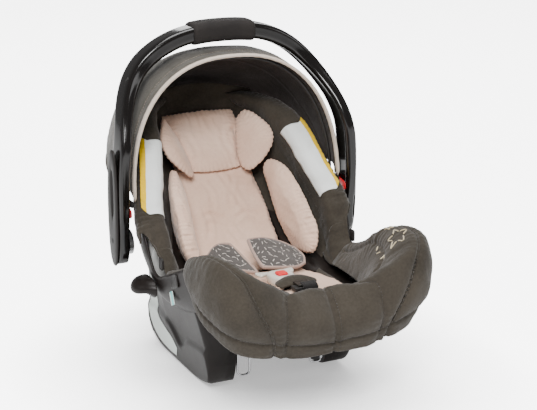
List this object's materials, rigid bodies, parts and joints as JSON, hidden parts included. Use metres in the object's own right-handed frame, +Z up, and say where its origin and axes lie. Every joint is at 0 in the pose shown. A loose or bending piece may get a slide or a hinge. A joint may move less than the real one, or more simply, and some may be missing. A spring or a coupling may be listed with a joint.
{
  "type": "infant car seat",
  "caption": "Rear-facing carrier with carry handle, rocker base, folding hood, padded insert and harness.",
  "frame": {"origin": "on the floor, under the middle of the outer box", "axes": "+X to the occupant's left-hand side of the frame, +Y from the foot end to the head end, +Z up"},
  "size_m": [0.4472, 0.6369, 0.5665],
  "materials": {
    "shell_plastic": "dark brown-grey moulded plastic, fine grain",
    "handle_gloss": "glossy black",
    "hub_plastic": "matte charcoal",
    "grip_foam": "black foam rubber",
    "red_plastic": "glossy red",
    "cover_fabric": "brushed taupe cloth",
    "canopy_fabric": "grey-green suede-like cloth",
    "cream_piping": "cream binding",
    "insert_fabric": "pinkish beige cloth",
    "harness_pad": "grey cloth with small pale dashes",
    "webbing": "black woven webbing",
    "buckle_grey": "warm light grey",
    "steel": "plain",
    "chrome_wire": "polished",
    "foam": "white bead foam"
  },
  "bodies": {
    "root": {"adjuster_housing": "shell_plastic", "adjuster_strap": "webbing", "back_pad": "insert_fabric", "base_front_bar": "shell_plastic", "base_rear_bar": "shell_plastic", "base_runner_left": "shell_plastic", "base_runner_right": "shell_plastic", "belt_guide_left": "shell_plastic", "belt_guide_right": "shell_plastic", "buckle_body": "buckle_grey", "buckle_tongue_left": "buckle_grey", "buckle_tongue_right": "buckle_grey", "canopy_clip_left": "shell_plastic", "canopy_clip_right": "shell_plastic", "canopy_fabric": "canopy_fabric", "cover_back": "cover_fabric", "cover_foot": "cover_fabric", "cover_seat": "cover_fabric", "crotch_strap": "webbing", "foam_liner": "foam", "harness_pad_left": "harness_pad", "harness_pad_right": "harness_pad", "head_pad": "insert_fabric", "head_wing_left": "insert_fabric", "head_wing_right": "insert_fabric", "hub_lock_disc_left": "steel", "hub_lock_disc_right": "steel", "insert_bolster_left": "insert_fabric", "insert_bolster_right": "insert_fabric", "latch_loop_left": "chrome_wire", "latch_loop_right": "chrome_wire", "latch_mount_left": "shell_plastic", "latch_mount_right": "shell_plastic", "release_bracket": "shell_plastic", "seat_pad": "insert_fabric", "shell_bucket": "shell_plastic", "shoulder_strap_left": "webbing", "shoulder_strap_right": "webbing", "splitter_plate": "steel"},
    "handle": {"handle_arch": "handle_gloss", "grip_sleeve": "grip_foam", "hub_cover_left": "hub_plastic", "hub_cover_right": "hub_plastic", "hub_screw_left": "steel", "hub_screw_right": "steel"},
    "release_left": {"release_button_left": "red_plastic"},
    "release_right": {"release_button_right": "red_plastic"},
    "canopy": {"canopy_bow": "shell_plastic", "canopy_piping": "cream_piping"},
    "buckle_release": {"buckle_button": "red_plastic"},
    "adjuster": {"adjuster_lever": "steel"},
    "base_release": {"release_lever": "shell_plastic"}
  },
  "joints": [
    {"name": "handle_swing", "type": "hinge", "parent": "root", "child": "handle", "pos_m": [0, 0.058, 0.215], "axis": [1, 0, 0], "range_deg": [-100, 60]},
    {"name": "release_press_left", "type": "slide", "parent": "handle", "child": "release_left", "axis": [1, 0, 0], "range_m": [0, 0.0025], "stiffness_N_per_m": 400},
    {"name": "release_press_right", "type": "slide", "parent": "handle", "child": "release_right", "axis": [-1, 0, 0], "range_m": [0, 0.0025], "stiffness_N_per_m": 400},
    {"name": "canopy_fold", "type": "hinge", "parent": "root", "child": "canopy", "pos_m": [0, 0.058, 0.282], "axis": [1, 0, 0], "range_deg": [-36, 0], "deforming": ["canopy_fabric"]},
    {"name": "buckle_press", "type": "slide", "parent": "root", "child": "buckle_release", "axis": [0, 0, -1], "range_m": [0, 0.0025], "stiffness_N_per_m": 500},
    {"name": "adjuster_lift", "type": "hinge", "parent": "root", "child": "adjuster", "pos_m": [0, -0.213, 0.1944], "axis": [1, 0, 0], "range_deg": [0, 20], "stiffness_Nm_per_rad": 0.05},
    {"name": "base_release_pull", "type": "slide", "parent": "root", "child": "base_release", "axis": [0, 0, 1], "range_m": [0, 0.007], "stiffness_N_per_m": 400}
  ]
}
